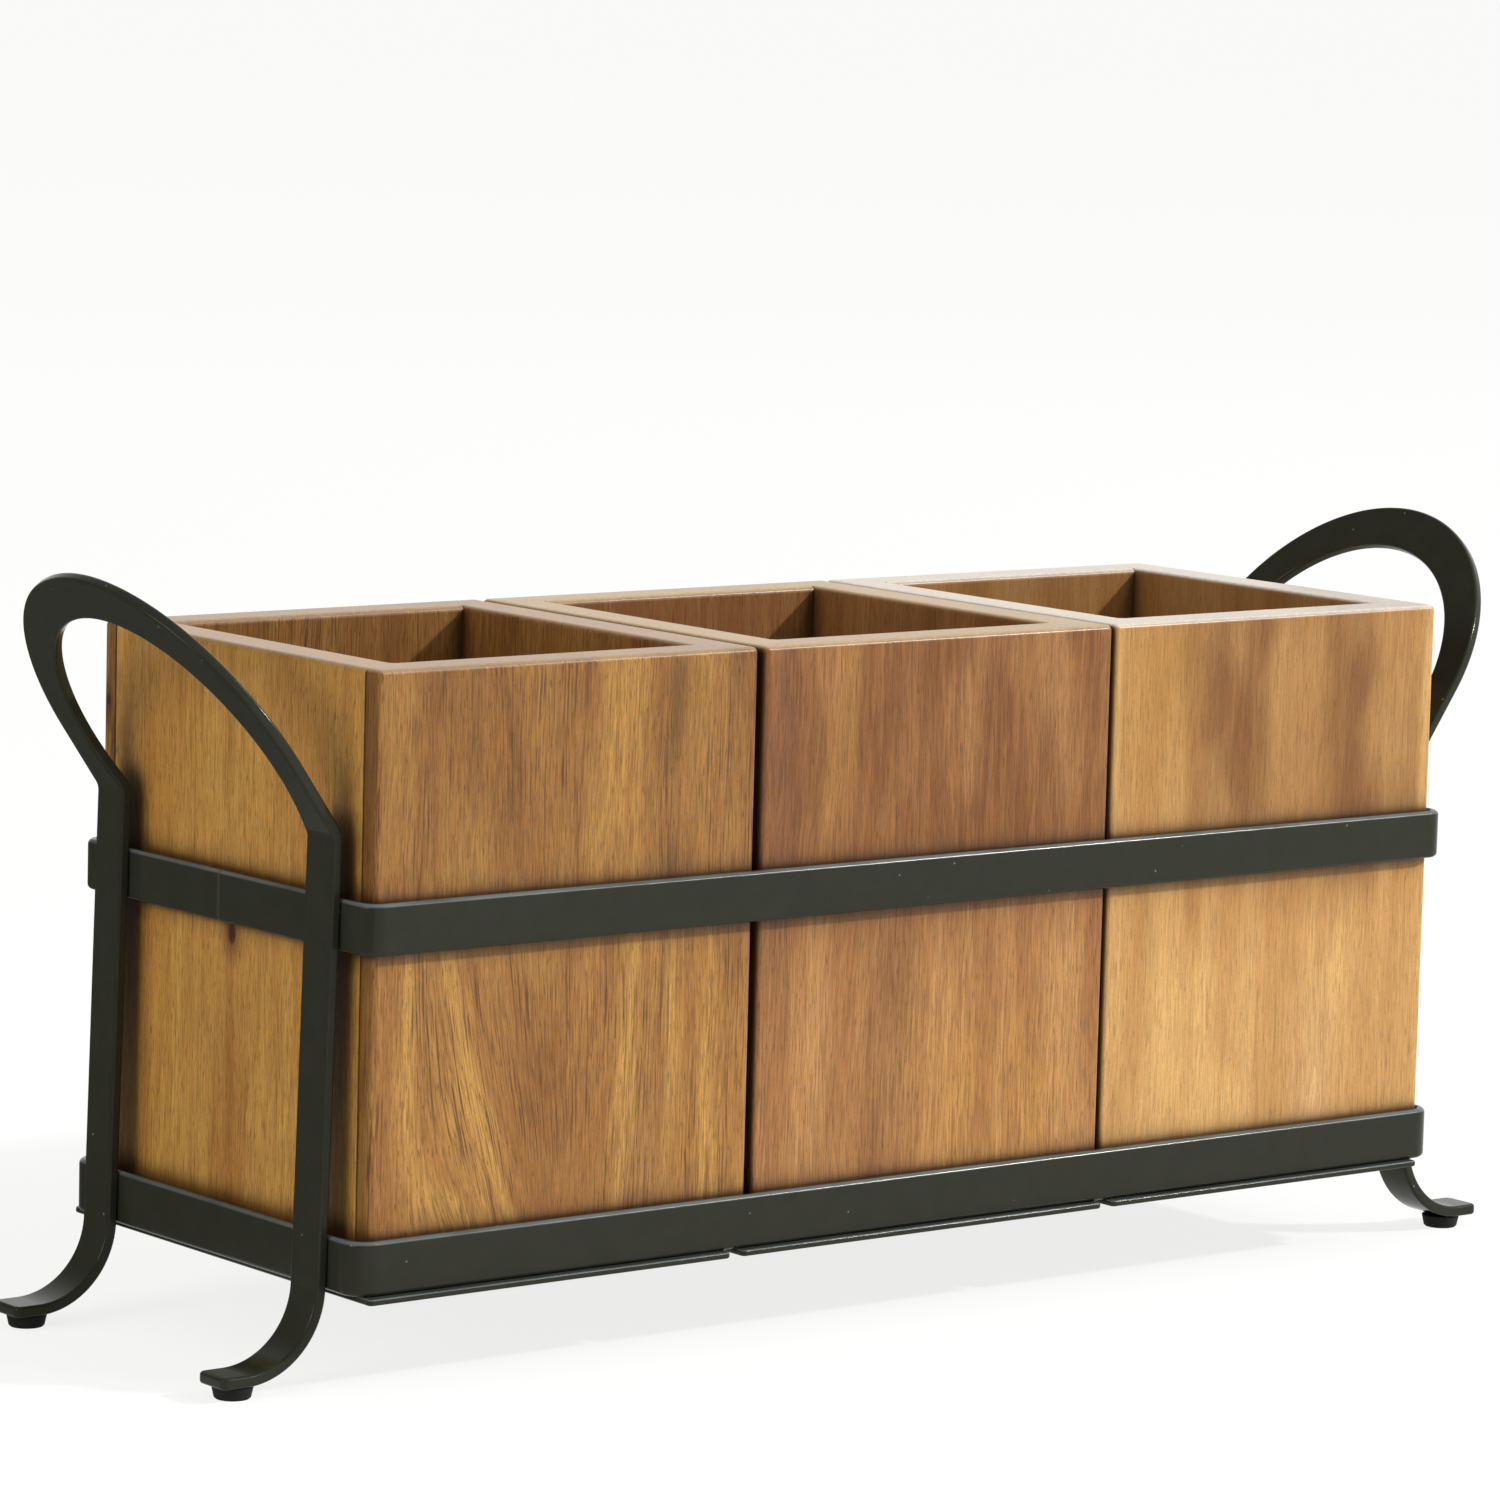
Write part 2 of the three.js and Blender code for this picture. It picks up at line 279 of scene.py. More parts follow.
# A knot that runs along X, at a place on the board, and the X at which it has ended
Knot = namedtuple("Knot", "y z size end")

# The left bin's wood: its tones and what its noise does. The other bins' woods differ from it.
LEFT_WOOD = dict(
    gold=tone(188, 140, 70),
    brown=tone(152, 102, 48),
    streak=tone(88, 54, 26),
    # end: the end grain's own pale tone, paled further as a painted reflection on the rims
    end=tone(174, 144, 108),
    heart=(0.0, 0.012),       # the growth rings' middle: across the board, and in from its face
    taper=0.03,               # how fast the rings widen up the board, which draws arches that open upwards,
    lean=0.02,                # and how far the arches lean
    shear=0.0,                # how far the fibres left of the rings' middle lean with the arches
    line_strength=0.6,
    streak_strength=0.75,
    pore_strength=0.5,
    fibre_shade=(0.72, 1.28),
    veins_and_painted_light=(),
    knots=(),
)
# The middle and right bins' end tones are paler still: their rims' paleness is mostly a painted reflection
MIDDLE_WOOD = dict(LEFT_WOOD, gold=tone(181, 131, 77), brown=tone(154, 102, 54), streak=tone(104, 64, 34),
                   end=tone(200, 172, 126), heart=(-0.09, 0.03), line_strength=0.4, streak_strength=0.4,
                   pore_strength=0.4, fibre_shade=(0.77, 1.23))
RIGHT_WOOD = dict(LEFT_WOOD, gold=tone(200, 153, 91), brown=tone(178, 127, 68), streak=tone(136, 90, 48),
                  end=tone(230, 224, 212), heart=(0.08, 0.03), line_strength=0.2, streak_strength=0.22,
                  pore_strength=0.25, fibre_shade=(0.86, 1.14))
BIN_LOOKS = {"left_bin": LEFT_WOOD, "middle_bin": MIDDLE_WOOD, "right_bin": RIGHT_WOOD}

BROWN = tone(118, 74, 26)
RED_BROWN = tone(114, 66, 22)
PURPLE_BROWN = tone(122, 78, 48)
DARK_BROWN = tone(76, 46, 24)
GOLD = tone(204, 152, 74)
PALE_GOLD = tone(222, 176, 108)
DUSTY_PINK = tone(212, 168, 126)

# What one board shows that its bin's others don't, with painted shade and painted light on the front boards
BOARD_LOOKS = {
    "left_bin_front_board": dict(heart=(-0.006, 0.006), taper=0.24, lean=0.14, shear=0.22, veins_and_painted_light=(
        # Painted shade: the board's whole upper part darker
        VeinAndPaintedLight(BROWN, 0.0, 0.0, 0.06, 0.68, -0.01, 0.02),
        VeinAndPaintedLight(BROWN, -0.012, -0.016, 0.013, 0.35, 0.0, 0.03),
        VeinAndPaintedLight(DARK_BROWN, 0.0027, -0.001, 0.0006, 0.6, 0.01, 0.03),
        VeinAndPaintedLight(GOLD, 0.0125, 0.009, 0.006, 0.45, 0.01, 0.03),
        VeinAndPaintedLight(DARK_BROWN, 0.0245, 0.021, 0.002, 0.35, -0.02, 0.02),
        VeinAndPaintedLight(DARK_BROWN, 0.0385, 0.038, 0.002, 0.35, -0.03, 0.0),
        VeinAndPaintedLight(RED_BROWN, -0.008, -0.004, 0.006, 0.3, 0.02, -0.01),
        VeinAndPaintedLight(GOLD, 0.034, 0.034, 0.01, 0.4, 0.0, -0.02),
        VeinAndPaintedLight(PURPLE_BROWN, 0.02, 0.019, 0.006, 0.45, -0.01, -0.03),
    )),
    "left_bin_left_board": dict(
        gold=tone(192, 144, 68), brown=tone(172, 120, 54), streak=tone(116, 76, 34),
        heart=(0.0, 0.004), taper=0.05, line_strength=0.35, streak_strength=0.35, fibre_shade=(0.82, 1.18),
        knots=(Knot(0.0005, 0.0777, 0.0015, -0.119),),
        veins_and_painted_light=(VeinAndPaintedLight(BROWN, 0.001, 0.0, 0.0014, 0.4, -0.08, -0.06),),
    ),
    "left_bin_back_board": dict(heart=(0.04, 0.03), knots=(Knot(0.0436, 0.1164, 0.0008, -0.123),)),
    "middle_bin_front_board": dict(veins_and_painted_light=(
        # Painted shade: the board's whole upper part darker
        VeinAndPaintedLight(RED_BROWN, 0.0, 0.0, 0.06, 0.78, -0.01, 0.02),
        VeinAndPaintedLight(PURPLE_BROWN, -0.041, -0.039, 0.007, 0.55, -0.04, 0.03),
        VeinAndPaintedLight(GOLD, -0.0235, -0.033, 0.0035, 0.3, 0.0, 0.03),
        VeinAndPaintedLight(RED_BROWN, -0.008, -0.011, 0.006, 0.4, -0.08, -0.06),
        VeinAndPaintedLight(PURPLE_BROWN, -0.01, -0.011, 0.004, 0.4, 0.02, -0.02),
        VeinAndPaintedLight(GOLD, 0.012, 0.014, 0.02, 0.4, 0.0, -0.03),
    )),
    "right_bin_front_board": dict(veins_and_painted_light=(
        # Painted shade: the board's whole upper part darker
        VeinAndPaintedLight(BROWN, 0.0, 0.0, 0.06, 0.62, -0.01, 0.02),
        VeinAndPaintedLight(GOLD, -0.033, -0.033, 0.009, 0.4, -0.01, 0.02),
        VeinAndPaintedLight(RED_BROWN, -0.011, -0.013, 0.0085, 0.65, 0.005, 0.025),
        VeinAndPaintedLight(RED_BROWN, 0.0215, 0.026, 0.006, 0.6, -0.01, 0.02),
        # Painted light: the board's whole lower part paler
        VeinAndPaintedLight(PALE_GOLD, 0.0, 0.0, 0.05, 0.55, 0.005, -0.02),
        VeinAndPaintedLight(DUSTY_PINK, 0.01, 0.014, 0.006, 0.4, -0.01, -0.03),
        # Painted highlights along the board's two upright edges
        VeinAndPaintedLight(PALE_GOLD, 0.0425, 0.0425, 0.0022, 0.6, -0.08, -0.06),
        VeinAndPaintedLight(PALE_GOLD, -0.0428, -0.0428, 0.0016, 0.5, -0.08, -0.06),
    )),
}

# The grain's noise: its size across the grain and along it, how many finer sizes it has, and how rough
Noise = namedtuple("Noise", "across along detail roughness", defaults=(2, 0.5))
SWAY = Noise(0.05, 0.12, 1)
WAVER = Noise(0.009, 0.035)
BLOTCH = Noise(0.014, 0.03, 1)
BAND = Noise(0.0065, 0.1)
LINE = Noise(0.0019, 0.035)
PATCH = Noise(0.005, 0.05, 1)
STREAK = Noise(0.0004, 0.02, 2, 0.6)
FIBRE = Noise(0.0003, 0.007, 3, 0.6)
FLECK = Noise(0.00028, 0.0006, 2, 0.6)
PORE = Noise(0.00022, 0.003, 1)
SPECKLE = Noise(0.0009, 0.0009, 3, 0.6)
NOISE_MIDDLE = 0.5

# Between which values each noise shows, and what it gives at each of them where that isn't 0 and 1
BLOTCH_STEP = (0.35, 0.6, 0.55, 1.1)
BAND_STEP = (0.34, 0.66)
LINE_STEP = (0.46, 0.62)
PATCH_STEP = (0.42, 0.58, 0.2, 1.0)
STREAK_STEP = (0.52, 0.62)
FIBRE_STEP = (0.3, 0.7)
FLECK_STEP = (0.2, 0.8, 0.92, 1.08)
PORE_STEP = (0.6, 0.68)
SPECKLE_STEP = (0.3, 0.7, 0.6, 0.85)

# Each board is cut from another place of the noise, and its rings and threads start anywhere in theirs
CUT_FROM = (0.2, 1.0)
START_FROM = (0, 50)

# How far the grain wanders over a hand's width and over a finger's width, and goes aside with the depth
SWAY_REACH = 0.005
WAVER_REACH = 0.0018
DEPTH_SLOPE = 0.8

# The arches: the height over the middle at which their sides turn upright, how gently they do, and how far
# left and right of the rings' middle they fade out
TAPER_END = 0.01
TAPER_BEND = 0.03
ARCH_LEFT = (-0.036, -0.01)
ARCH_RIGHT = (0.014, 0.04)

# The fibres lean with the arches up to this far right, and turn about this height over the board's middle
SHEAR_RIGHT = (-0.008, 0.014)
SHEAR_MIDDLE = 0.008

# Each such stripe, veining and painted light alike, is whole up to the first share of its half width, and
# gone at the second
VEIN_AND_LIGHT_SHARES = (0.35, 1.5)

# A knot fades out over a short length before its end, and it is drawn out along the grain. Its pull on the
# rings, its stain and its core each fade between two distances in its own size, from the strength given.
KNOT_FADE = 0.004
KNOT_SQUEEZE = 0.6
KNOT_BEND = (1.0, 6.0, 0.004)
KNOT_STAIN = (0.8, 3.2, 0.7)
KNOT_CORE = (0.5, 1.1, 0.9)
STAIN_TONE = tone(112, 68, 38)
CORE_TONE = tone(60, 34, 20)

# How squarely a face looks along the grain to be end grain, or across it to be a cut edge, and what shows
# on a cut edge
END_STEP = (0.35, 0.9)
EDGE_STEP = (0.6, 0.95)
EDGE_STRENGTH = 0.45
EDGE_TONE = tone(84, 52, 20)
JOINT_STRENGTH = 0.7
JOINT_TONE = tone(40, 22, 10)

# Painted shade: the bins' insides are darker, from this share of the boards' thickness on
INSIDE_SHADE_START_SHARE = 0.9
INSIDE_SHADE_STRENGTH = 0.55
INSIDE_SHADE_TONE = tone(92, 54, 20)

# Painted shade: wood is darker within this reach of a neighbour that hides it from the light
SHADE_REACH = 0.005
SHADE_SAMPLES = 8
SHADE_STEP = (0.45, 1.0, 0.86, 0.0)
SHADE_TONE = tone(46, 28, 12)

# The wood's surface: the height of its fibres and the depth of its pores, and its thin coat of oil
PORE_TONE = tone(64, 38, 18)
GRAIN_DEPTH = 0.00003
FIBRE_HEIGHT = 0.5
PORE_DEPTH = 0.8
WOOD_ROUGHNESS_STEP = (0.2, 0.8, 0.42, 0.52)
END_ROUGHNESS = -0.1
WOOD_SPECULAR = 0.25
OIL_WEIGHT = 0.15
OIL_ROUGHNESS = 0.2


class Grain:
    """A board's own coordinates in its material, and noise that follows its grain. Depth is counted inwards
    from the board's outer face."""

    def __init__(self, paint, node, look):
        self.paint = paint
        self.look = look
        self.kind = node.split("_bin_")[1]
        self.shuffle = random.Random(node)
        across_axis, depth_axis, grain_axis = BOARD_AXES[self.kind]
        low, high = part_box(node)
        middle = (low + high) / 2
        faces_low = self.kind in ("front_board", "left_board", "floor_panel")
        face = low[depth_axis] if faces_low else high[depth_axis]
        sign = 1 if faces_low else -1
        self.half_height = (high[grain_axis] - low[grain_axis]) / 2

        self.spot = paint.separate(paint.place())
        facing = paint.separate(paint.facing())
        self.end = paint.step(paint.math("ABSOLUTE", facing[grain_axis]), *END_STEP)
        self.edge = paint.step(paint.math("ABSOLUTE", facing[across_axis]), *EDGE_STEP)
        across = paint.math("SUBTRACT", self.spot[across_axis], middle[across_axis])
        self.depth = paint.product(paint.math("SUBTRACT", self.spot[depth_axis], face), sign)
        self.along = paint.math("SUBTRACT", self.spot[grain_axis], middle[grain_axis])
        local = paint.combine(across, self.depth, self.along)
        self.strewn = paint.vector("ADD", local, [self.shuffle.uniform(*CUT_FROM) for _ in range(3)])
        self.drift = paint.total(across, self.wander(SWAY, SWAY_REACH), self.wander(WAVER, WAVER_REACH))

        heart_across, heart_depth = look["heart"]
        self.aside = paint.total(self.drift, -heart_across)
        self.inward = paint.total(self.depth, heart_depth)
        self.height = paint.math("SMOOTH_MIN", self.along, TAPER_END, TAPER_BEND)
        self.on_left = paint.step(self.aside, *ARCH_LEFT)
        self.cut_side = paint.product(self.depth, DEPTH_SLOPE)
        self.strand = self.find_strand()
        self.radius = self.find_radius()

    def noise(self, kind):
        size = (1 / kind.across, 1 / kind.across, 1 / kind.along)
        spot = self.paint.vector("MULTIPLY", self.strewn, size)
        return self.paint.noise(spot, detail=kind.detail, roughness=kind.roughness)

    def wander(self, kind, reach):
        middled = self.paint.math("SUBTRACT", self.noise(kind), NOISE_MIDDLE)
        return self.paint.product(middled, reach)

    def threads(self, kind):
        """Noise drawn out along the grain, which bends with it."""
        paint = self.paint
        spot = paint.combine(
            paint.product(self.strand, 1 / kind.across),
            paint.product(self.depth, 1 / kind.across),
            paint.product(self.along, 1 / kind.along),
        )
        moved = paint.vector("ADD", spot, [self.shuffle.uniform(*START_FROM) for _ in range(3)])
        return paint.noise(moved, detail=kind.detail, roughness=kind.roughness)

    def rings(self, kind):
        """Noise that follows the growth rings."""
        paint = self.paint
        spot = paint.combine(
            paint.product(self.radius, 1 / kind.across),
            paint.product(self.along, 1 / kind.along),
            self.shuffle.uniform(*START_FROM),
        )
        return paint.noise(spot, detail=kind.detail, roughness=kind.roughness)

    def find_strand(self):
        """How far across the board a point's fibre is. Left of the rings' middle it leans."""
        paint = self.paint
        leaning = paint.product(
            self.on_left,
            paint.step(self.aside, *SHEAR_RIGHT, *FALLING),
            paint.total(self.height, -SHEAR_MIDDLE),
            self.look["shear"],
        )
        return paint.total(self.drift, leaning, self.cut_side)

    def find_radius(self):
        """How far out a point's growth ring is. Rings of a tapered trunk draw arches on a flat-sawn face."""
        paint = self.paint
        arched = paint.product(self.height, self.on_left, paint.step(self.aside, *ARCH_RIGHT, *FALLING))
        sideways = paint.total(self.aside, paint.product(arched, self.look["lean"]))
        length = paint.measure("LENGTH", paint.combine(sideways, self.inward, 0.0))
        radius = paint.total(length, paint.product(arched, -self.look["taper"]), self.cut_side)
        for knot in self.look["knots"]:
            radius = paint.total(radius, self.round_knot(knot, *KNOT_BEND))
        return radius

    def round_knot(self, knot, inner, outer, strength):
        """Falls from its strength to zero between two distances from a knot, counted in its own size."""
        paint = self.paint
        y = paint.product(paint.math("SUBTRACT", self.spot[Y], knot.y), 1 / knot.size)
        z = paint.product(paint.math("SUBTRACT", self.spot[Z], knot.z), KNOT_SQUEEZE / knot.size)
        length = paint.measure("LENGTH", paint.combine(y, z, 0.0))
        fade = paint.step(self.spot[X], knot.end - KNOT_FADE, knot.end, *FALLING)
        return paint.product(fade, paint.step(length, inner, outer, strength, 0.0))


def banded(grain):
    """The broad pale and dark bands of the growth rings."""
    band = grain.paint.step(grain.rings(BAND), *BAND_STEP)
    return grain.paint.mix(band, grain.look["gold"], grain.look["brown"])


def veined_and_painted_light(grain, color):
    """The board's own broad veining, and the painted shade and painted light laid the same way on the front
    boards.
    """
    if not grain.look["veins_and_painted_light"]:
        return color
    paint = grain.paint
    blotch = paint.step(grain.noise(BLOTCH), *BLOTCH_STEP)
    for vein_and_light in grain.look["veins_and_painted_light"]:
        slope = (vein_and_light.top - vein_and_light.bottom) / (2 * grain.half_height)
        middle = (vein_and_light.top + vein_and_light.bottom) / 2
        line = paint.total(paint.product(grain.along, slope), middle)
        whole, gone = [vein_and_light.half * share for share in VEIN_AND_LIGHT_SHARES]
        weight = paint.step(paint.apart(grain.drift, line), whole, gone, *FALLING)
        fade = paint.step(grain.along, min(vein_and_light.start, vein_and_light.end), max(vein_and_light.start, vein_and_light.end),
                          float(vein_and_light.end < vein_and_light.start), float(vein_and_light.end > vein_and_light.start))
        color = paint.mix(paint.product(weight, fade, blotch, vein_and_light.strength), color, vein_and_light.tone)
    return color


def lined(grain, color):
    """The fine dark lines of the growth rings."""
    paint = grain.paint
    line = paint.step(grain.rings(LINE), *LINE_STEP)
    return paint.mix(paint.product(line, grain.look["line_strength"]), color, grain.look["brown"])


def streaked(grain, color):
    """Short dark streaks along the grain, thicker in some patches than in others."""
    paint = grain.paint
    streak = paint.step(grain.threads(STREAK), *STREAK_STEP)
    patch = paint.step(grain.rings(PATCH), *PATCH_STEP)
    share = paint.product(streak, patch, grain.look["streak_strength"])
    return paint.mix(share, color, grain.look["streak"])


def knotted(grain, color):
    """Each knot is a dark core in a brown stain."""
    paint = grain.paint
    for knot in grain.look["knots"]:
        color = paint.mix(grain.round_knot(knot, *KNOT_STAIN), color, STAIN_TONE)
        color = paint.mix(grain.round_knot(knot, *KNOT_CORE), color, CORE_TONE)
    return color


def fibrous(grain, fibre, color):
    """The fibres' own light and dark."""
    paint = grain.paint
    fleck = grain.noise(FLECK)
    shade = paint.product(
        paint.step(fibre, *FIBRE_STEP, *grain.look["fibre_shade"]),
        paint.step(fleck, *FLECK_STEP),
    )
    return paint.mix(1.0, color, paint.combine(shade, shade, shade), "MULTIPLY")


def cut_ends(grain, color):
    """End grain is pale and even, partly from its own tone and partly as a painted reflection; the cut edges
    are darker than the face, and the bins' inner faces have painted shade.
    """
    paint = grain.paint
    color = paint.mix(paint.product(grain.edge, EDGE_STRENGTH), color, EDGE_TONE)
    if grain.kind in ("front_board", "back_board"):
        off = paint.apart(grain.depth, LIP_THICKNESS)
        joint = paint.step(off, JOINT_LINE, 2 * JOINT_LINE, *FALLING)
        color = paint.mix(paint.product(grain.edge, joint, JOINT_STRENGTH), color, JOINT_TONE)
    # Painted shade on the bins' inner faces
    inside_shade = paint.step(grain.depth, INSIDE_SHADE_START_SHARE * BOARD_THICKNESS, BOARD_THICKNESS)
    color = paint.mix(paint.product(inside_shade, INSIDE_SHADE_STRENGTH), color, INSIDE_SHADE_TONE)
    # End grain takes the end tone: its own paleness and a painted reflection
    speckle = paint.step(grain.noise(SPECKLE), *SPECKLE_STEP)
    return paint.mix(paint.product(grain.end, speckle), color, grain.look["end"])


def shaded(paint, color):
    """Painted shade: darker where steel or another board stands close and hides the wood from the light."""
    nearby = paint.node("AmbientOcclusion", samples=SHADE_SAMPLES)
    nearby.inputs["Distance"].default_value = SHADE_REACH
    return paint.mix(paint.step(nearby.outputs["AO"], *SHADE_STEP), color, SHADE_TONE)


def wood(node, look):
    """Flat-sawn, oiled wood, from the broad bands of its growth rings down to its pores."""
    paint = Paint(node + "_wood")
    grain = Grain(paint, node, look)
    color = banded(grain)
    color = veined_and_painted_light(grain, color)
    color = lined(grain, color)
    color = streaked(grain, color)
    color = knotted(grain, color)
    fibre = grain.threads(FIBRE)
    color = fibrous(grain, fibre, color)
    pores = paint.step(grain.threads(PORE), *PORE_STEP)
    color = paint.mix(paint.product(pores, look["pore_strength"]), color, PORE_TONE)
    color = shaded(paint, cut_ends(grain, color))

    height = paint.math("SUBTRACT", paint.product(fibre, FIBRE_HEIGHT), paint.product(pores, PORE_DEPTH))
    roughness = paint.total(paint.step(fibre, *WOOD_ROUGHNESS_STEP), paint.product(grain.end, END_ROUGHNESS))
    paint.give("Coat Weight", OIL_WEIGHT)
    paint.give("Coat Roughness", OIL_ROUGHNESS)
    return paint.finish(color, roughness, paint.bump(height, GRAIN_DEPTH), WOOD_SPECULAR)


# Steel and rubber

# The steel's coat: two dark tones that mottle it, and its warm shine
STEEL_TONE = tone(46, 47, 38)
STEEL_DULL = tone(44, 45, 36)
STEEL_SHINE = (1.0, 0.97, 0.86, 1)
STEEL_SPECULAR = 0.14
STEEL_ROUGHNESS_STEP = (0.3, 0.7, 0.15, 0.19)
MOTTLE_SIZE = 0.006
MOTTLE_STEP = (0.35, 0.65)

# The coat's orange peel, fine and wide: its sizes, and how high the parts of the relief are
PEEL_SIZE = 0.0007
WIDE_PEEL_SIZE = 0.004
PEEL_DEPTH = 0.000005
WIDE_PEEL_HEIGHT = 1.5
SPECK_HEIGHT = 1.2
SEAM_HEIGHT = 4.0

# Dust specks lie in cells of one size. Few cells have one, and it fills a small share of its cell.
SPECK_CELL = 0.0034
SPECK_CHANCE_STEP = (0.8, 0.82)
SPECK_SHARES = (0.045, 0.08)
SPECK_TONE = tone(120, 122, 110)

# Painted highlight: upper edges are paler where they turn upwards, less on top, and in some places more than
# in others
EDGE_HIGHLIGHT_TONE = tone(104, 112, 114)
EDGE_HIGHLIGHT_UPWARD_STEP = (0.2, 0.6)
EDGE_HIGHLIGHT_TOP_STEP = (0.9, 0.99, 1.0, 0.3)
EDGE_HIGHLIGHT_PATCH_SIZE = 0.02
EDGE_HIGHLIGHT_PATCH_STEP = (0.3, 0.6, 0.5, 1.0)
EDGE_HIGHLIGHT_STRENGTH = 0.8

# The mid band's weld, at the left: its place, its half width and how far it fades, in half widths
SEAM_Y = 0.0006
SEAM_HALF = 0.00022
SEAM_FADE = 2.5
SEAM_X_STEP = (-0.1, -0.05)
SEAM_STRENGTH = 0.5
SEAM_TONE = tone(70, 71, 62)

# The pads' rubber: two tones, the size and depth of its grain, and how matt it is
RUBBER_TONE = tone(18, 18, 17)
RUBBER_PALE = tone(28, 28, 27)
RUBBER_GRAIN_SIZE = 0.0008
RUBBER_DEPTH = 0.00003
RUBBER_ROUGHNESS_STEP = (0.3, 0.7, 0.78, 0.9)
RUBBER_SPECULAR = 0.3


def dust(paint, place):
    """A few small round specks, far apart."""
    cells = paint.node("TexVoronoi", feature="F1")
    paint.feed(cells.inputs["Vector"], place)
    paint.feed(cells.inputs["Scale"], 1 / SPECK_CELL)
    chance = paint.node("SeparateColor")
    paint.feed(chance.inputs[0], cells.outputs["Color"])
    dot = paint.step(cells.outputs["Distance"], *SPECK_SHARES, *FALLING)
    return paint.product(dot, paint.step(chance.outputs[0], *SPECK_CHANCE_STEP))


def painted_edge_highlight(paint, place):
    """How strong the painted highlight is, on edges that look upwards."""
    upward = paint.separate(paint.facing())[Z]
    rounded = paint.product(
        paint.step(upward, *EDGE_HIGHLIGHT_UPWARD_STEP),
        paint.step(upward, *EDGE_HIGHLIGHT_TOP_STEP),
    )
    patch = paint.step(paint.noise(place, EDGE_HIGHLIGHT_PATCH_SIZE), *EDGE_HIGHLIGHT_PATCH_STEP)
    return paint.product(rounded, patch, EDGE_HIGHLIGHT_STRENGTH)


def weld_line(paint, place):
    """The thin upright line of a band's weld, on its left side."""
    spot = paint.separate(place)
    return paint.product(
        paint.step(paint.apart(spot[Y], SEAM_Y), SEAM_HALF, SEAM_HALF * SEAM_FADE, *FALLING),
        paint.step(spot[X], *SEAM_X_STEP, *FALLING),
    )


def steel(name, highlit=False, seam=False):
    """Satin black powder coat: a fine orange peel and a few pale dust specks, and on the bands and plates a
    painted highlight on the upper edges."""
    paint = Paint(name)
    place = paint.place()
    mottle = paint.noise(place, MOTTLE_SIZE, detail=3, roughness=0.6)
    color = paint.mix(paint.step(mottle, *MOTTLE_STEP), STEEL_DULL, STEEL_TONE)
    # Painted highlight on the upper edges
    if highlit:
        color = paint.mix(painted_edge_highlight(paint, place), color, EDGE_HIGHLIGHT_TONE)
    speck = dust(paint, place)
    color = paint.mix(speck, color, SPECK_TONE)

    peel = paint.noise(place, PEEL_SIZE)
    wide_peel = paint.product(paint.noise(place, WIDE_PEEL_SIZE, detail=1), WIDE_PEEL_HEIGHT)
    height = paint.total(peel, wide_peel, paint.product(speck, SPECK_HEIGHT))
    if seam:
        line = weld_line(paint, place)
        color = paint.mix(paint.product(line, SEAM_STRENGTH), color, SEAM_TONE)
        height = paint.total(height, paint.product(line, SEAM_HEIGHT))
    paint.give("Specular Tint", STEEL_SHINE)
    roughness = paint.step(mottle, *STEEL_ROUGHNESS_STEP)
    return paint.finish(color, roughness, paint.bump(height, PEEL_DEPTH), STEEL_SPECULAR)


def rubber():
    """Matt black rubber, slightly grainy."""
    paint = Paint("black_rubber_pad")
    grain = paint.noise(paint.place(), RUBBER_GRAIN_SIZE, detail=3, roughness=0.6)
    color = paint.mix(grain, RUBBER_TONE, RUBBER_PALE)
    roughness = paint.step(grain, *RUBBER_ROUGHNESS_STEP)
    return paint.finish(color, roughness, paint.bump(grain, RUBBER_DEPTH), RUBBER_SPECULAR)


# Pieces

def near(first, second):
    return abs(first - second) < SAME_PLACE


def is_corner(edge):
    return len(edge.link_faces) == 2 and edge.calc_face_angle() > CORNER_ANGLE


def is_slanted(edge):
    """Whether an edge runs askew across a flat face."""
    run = edge.verts[1].co - edge.verts[0].co
    is_straight = near(run.x, 0) or near(run.y, 0)
    return not is_straight and edge.calc_face_angle() < FLAT_ANGLE


def ends_on_flat(edge):
    """Whether the tapered end of an eased edge meets a flat face here. Their shading is kept apart."""
    if len(edge.link_faces) != 2:
        return False
    small, large = sorted(edge.link_faces, key=lambda face: face.calc_area())
    return len(small.verts) == 3 and large.calc_area() > FLAT_AREA


def whole_form(node):
    """The node's form with its corners joined and each flat face whole."""
    form = bmesh.new()
    form.from_mesh(frame["nodes"][node].data)
    bmesh.ops.remove_doubles(form, verts=form.verts, dist=JOIN_REACH)
    bmesh.ops.dissolve_limit(form, angle_limit=FLAT_ANGLE, verts=form.verts, edges=form.edges)
    return form


def split_across(form, axis, value):
    """Parts the faces where a plane square to an axis crosses them."""
    point = Vector((0, 0, 0))
    point[axis] = value
    normal = Vector((0, 0, 0))
    normal[axis] = 1
    geometry = list(form.verts) + list(form.edges) + list(form.faces)
    bmesh.ops.bisect_plane(form, geom=geometry, dist=JOIN_REACH, plane_co=point, plane_no=normal)


def board_form(node):
    """A board's form. A side board's faces are parted at the bin's inner corners, beside the rabbets."""
    form = whole_form(node)
    if node.endswith(("left_board", "right_board")):
        low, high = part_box(node)
        reach = BOARD_THICKNESS - LIP_THICKNESS
        split_across(form, Y, low.y + reach)
        split_across(form, Y, high.y - reach)
    return form


def hoop_form(node):
    """A band's form, with its narrow ring faces parted where the round corners start."""
    form = whole_form(node)
    low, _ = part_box(node)
    for axis, other in ((X, Y), (Y, X)):
        side = [vertex.co[axis] for vertex in form.verts if near(vertex.co[other], low[other])]
        split_across(form, axis, min(side))
        split_across(form, axis, max(side))
    slanted = [edge for edge in form.edges if is_slanted(edge)]
    bmesh.ops.dissolve_edges(form, edges=slanted, use_verts=False)
    return form


